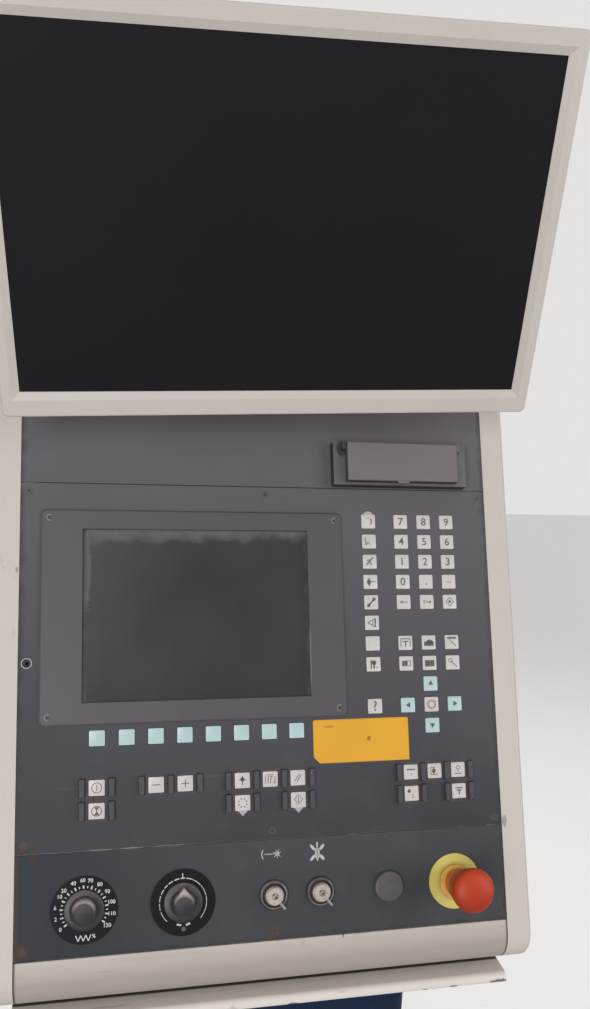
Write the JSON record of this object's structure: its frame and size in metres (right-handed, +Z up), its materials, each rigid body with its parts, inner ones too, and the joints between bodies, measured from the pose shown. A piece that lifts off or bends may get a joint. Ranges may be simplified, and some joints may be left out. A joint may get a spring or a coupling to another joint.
{
  "type": "laser cutting machine operator console",
  "caption": "Pedestal operator console for a laser cutting machine: leaning control face with screen, keys, switches and stop button, and a tilting monitor above.",
  "frame": {"origin": "on the floor, in the middle of the four anchor holes under the foot plate", "axes": "+Z up, +X to the operator's right, +Y away from the operator (the control face looks towards -Y)"},
  "size_m": [0.5374, 0.42, 1.7966],
  "materials": {
    "cream_paint": "semi-gloss cream powder coat, scuffed at the edges",
    "cream_plastic": "cream structural foam, fine texture",
    "blue_paint": "satin dark blue enamel, scratched",
    "dark_paint": "satin dark grey printed plate",
    "zinc_steel": "zinc plated",
    "key_steel": "stamped nickel-plated steel",
    "chrome_rim": "bright chrome ring",
    "screen_glass": "hard-coated pane over a dark screen",
    "display_plastic": "black housing",
    "key_plastic": "off-white key caps on a board",
    "mint_plastic": "mint key caps",
    "bay_plastic": "dark grey moulded plastic",
    "dial_aluminium": "anodised dark, printed scale",
    "grey_plastic": "mid grey moulded plastic",
    "black_plastic": "black moulded plastic",
    "yellow_plastic": "yellow warning disc",
    "orange_plastic": "yellow-orange collar",
    "red_plastic": "red mushroom head",
    "post_paint": "black powder coat",
    "monitor_plastic": "off-white fine-textured plastic",
    "panel_film": "anti-glare film over a switched-off screen"
  },
  "bodies": {
    "console": {"foot_plate": "blue_paint", "pedestal_column": "blue_paint", "shelf": "cream_paint", "head_plate": "blue_paint", "frame_bolts": "zinc_steel", "left_cheek": "cream_plastic", "right_cheek": "cream_plastic", "cross_rails": "zinc_steel", "housing_shell": "cream_paint", "door_hinges": "zinc_steel", "front_apron": "cream_paint", "drive_plate": "dark_paint", "operator_panel": "dark_paint", "switch_panel": "dark_paint", "screen_frame": "dark_paint", "screen_window": "screen_glass", "display_unit": "display_plastic", "key_board": "key_plastic", "drive_frame": "bay_plastic", "disk_drive": "bay_plastic", "dial_discs": "dial_aluminium", "switch_barrels": "chrome_rim", "blanking_cap": "grey_plastic", "stop_disc": "yellow_plastic", "stop_collar": "orange_plastic", "contact_blocks": "black_plastic", "panel_screws": "zinc_steel", "monitor_post": "post_paint"},
    "rear_door": {"rear_door": "cream_paint"},
    "door_latch_upper": {"door_latch_upper": "zinc_steel"},
    "door_latch_lower": {"door_latch_lower": "zinc_steel"},
    "drive_flap": {"drive_flap": "bay_plastic"},
    "override_knob": {"override_knob": "black_plastic"},
    "airflow_knob": {"airflow_knob": "black_plastic"},
    "left_switch_key": {"left_switch_key": "key_steel"},
    "right_switch_key": {"right_switch_key": "key_steel"},
    "stop_stem": {"stop_stem": "red_plastic"},
    "stop_head": {"stop_head": "red_plastic"},
    "monitor": {"monitor_bracket": "post_paint", "monitor_back": "monitor_plastic", "monitor_screen": "panel_film", "monitor_bezel": "monitor_plastic"},
    "arrow_up_key": {"arrow_up_key": "mint_plastic"},
    "arrow_left_key": {"arrow_left_key": "mint_plastic"},
    "arrow_right_key": {"arrow_right_key": "mint_plastic"},
    "arrow_down_key": {"arrow_down_key": "mint_plastic"},
    "power_on_key": {"power_on_key": "key_plastic"},
    "power_off_key": {"power_off_key": "key_plastic"},
    "minus_key": {"minus_key": "key_plastic"},
    "plus_key": {"plus_key": "key_plastic"},
    "feed_key": {"feed_key": "key_plastic"},
    "mode_key": {"mode_key": "key_plastic"},
    "reset_key": {"reset_key": "key_plastic"},
    "hold_key": {"hold_key": "key_plastic"},
    "start_key": {"start_key": "key_plastic"},
    "laser_key": {"laser_key": "key_plastic"},
    "shutter_key": {"shutter_key": "key_plastic"},
    "beam_key": {"beam_key": "key_plastic"},
    "gas_key": {"gas_key": "key_plastic"},
    "lamp_key": {"lamp_key": "key_plastic"}
  },
  "joints": [
    {"name": "rear_door_swing", "type": "hinge", "parent": "console", "child": "rear_door", "pos_m": [-0.2205, 0.157, 1.19808], "axis": [0, 0, 1], "range_deg": [0, 110]},
    {"name": "door_latch_upper_turn", "type": "hinge", "parent": "rear_door", "child": "door_latch_upper", "pos_m": [0.188, 0.164, 1.35808], "axis": [0, 1, 0], "range_deg": [0, 90]},
    {"name": "door_latch_lower_turn", "type": "hinge", "parent": "rear_door", "child": "door_latch_lower", "pos_m": [0.188, 0.164, 1.03808], "axis": [0, 1, 0], "range_deg": [0, 90]},
    {"name": "drive_flap_lift", "type": "hinge", "parent": "console", "child": "drive_flap", "pos_m": [0.144, 0.00295, 1.42525], "axis": [-1, 0, 0], "range_deg": [0, 85]},
    {"name": "override_turn", "type": "hinge", "parent": "console", "child": "override_knob", "pos_m": [-0.1787, -0.13581, 0.999], "axis": [0, -0.9397, 0.342], "range_deg": [-140, 140]},
    {"name": "airflow_turn", "type": "hinge", "parent": "console", "child": "airflow_knob", "pos_m": [-0.0876, -0.13581, 0.999], "axis": [0, -0.9397, 0.342], "range_deg": [-135, 135]},
    {"name": "left_switch_turn", "type": "hinge", "parent": "console", "child": "left_switch_key", "pos_m": [0, -0.13581, 0.999], "axis": [0, -0.9397, 0.342], "range_deg": [0, 90]},
    {"name": "right_switch_turn", "type": "hinge", "parent": "console", "child": "right_switch_key", "pos_m": [0.0465, -0.13581, 0.999], "axis": [0, -0.9397, 0.342], "range_deg": [0, 90]},
    {"name": "stop_press", "type": "slide", "parent": "console", "child": "stop_stem", "axis": [0, 0.9397, -0.342], "range_m": [0, 0.005], "stiffness_N_per_m": 2000},
    {"name": "stop_twist", "type": "hinge", "parent": "stop_stem", "child": "stop_head", "pos_m": [0.186, -0.17715, 1.01405], "axis": [0, -0.9397, 0.342], "range_deg": [0, 45]},
    {"name": "monitor_tilt", "type": "hinge", "parent": "console", "child": "monitor", "pos_m": [0, -0.02403, 1.64586], "axis": [-1, 0, 0], "range_deg": [-5, 20]},
    {"name": "arrow_up_press", "type": "slide", "parent": "console", "child": "arrow_up_key", "axis": [0, 0.9397, -0.342], "range_m": [0, 0.0015], "stiffness_N_per_m": 1500},
    {"name": "arrow_left_press", "type": "slide", "parent": "console", "child": "arrow_left_key", "axis": [0, 0.9397, -0.342], "range_m": [0, 0.0015], "stiffness_N_per_m": 1500},
    {"name": "arrow_right_press", "type": "slide", "parent": "console", "child": "arrow_right_key", "axis": [0, 0.9397, -0.342], "range_m": [0, 0.0015], "stiffness_N_per_m": 1500},
    {"name": "arrow_down_press", "type": "slide", "parent": "console", "child": "arrow_down_key", "axis": [0, 0.9397, -0.342], "range_m": [0, 0.0015], "stiffness_N_per_m": 1500},
    {"name": "power_on_press", "type": "slide", "parent": "console", "child": "power_on_key", "axis": [0, 0.9397, -0.342], "range_m": [0, 0.0015], "stiffness_N_per_m": 1500},
    {"name": "power_off_press", "type": "slide", "parent": "console", "child": "power_off_key", "axis": [0, 0.9397, -0.342], "range_m": [0, 0.0015], "stiffness_N_per_m": 1500},
    {"name": "minus_press", "type": "slide", "parent": "console", "child": "minus_key", "axis": [0, 0.9397, -0.342], "range_m": [0, 0.0015], "stiffness_N_per_m": 1500},
    {"name": "plus_press", "type": "slide", "parent": "console", "child": "plus_key", "axis": [0, 0.9397, -0.342], "range_m": [0, 0.0015], "stiffness_N_per_m": 1500},
    {"name": "feed_press", "type": "slide", "parent": "console", "child": "feed_key", "axis": [0, 0.9397, -0.342], "range_m": [0, 0.0015], "stiffness_N_per_m": 1500},
    {"name": "mode_press", "type": "slide", "parent": "console", "child": "mode_key", "axis": [0, 0.9397, -0.342], "range_m": [0, 0.0015], "stiffness_N_per_m": 1500},
    {"name": "reset_press", "type": "slide", "parent": "console", "child": "reset_key", "axis": [0, 0.9397, -0.342], "range_m": [0, 0.0015], "stiffness_N_per_m": 1500},
    {"name": "hold_press", "type": "slide", "parent": "console", "child": "hold_key", "axis": [0, 0.9397, -0.342], "range_m": [0, 0.0015], "stiffness_N_per_m": 1500},
    {"name": "start_press", "type": "slide", "parent": "console", "child": "start_key", "axis": [0, 0.9397, -0.342], "range_m": [0, 0.0015], "stiffness_N_per_m": 1500},
    {"name": "laser_press", "type": "slide", "parent": "console", "child": "laser_key", "axis": [0, 0.9397, -0.342], "range_m": [0, 0.0015], "stiffness_N_per_m": 1500},
    {"name": "shutter_press", "type": "slide", "parent": "console", "child": "shutter_key", "axis": [0, 0.9397, -0.342], "range_m": [0, 0.0015], "stiffness_N_per_m": 1500},
    {"name": "beam_press", "type": "slide", "parent": "console", "child": "beam_key", "axis": [0, 0.9397, -0.342], "range_m": [0, 0.0015], "stiffness_N_per_m": 1500},
    {"name": "gas_press", "type": "slide", "parent": "console", "child": "gas_key", "axis": [0, 0.9397, -0.342], "range_m": [0, 0.0015], "stiffness_N_per_m": 1500},
    {"name": "lamp_press", "type": "slide", "parent": "console", "child": "lamp_key", "axis": [0, 0.9397, -0.342], "range_m": [0, 0.0015], "stiffness_N_per_m": 1500}
  ]
}
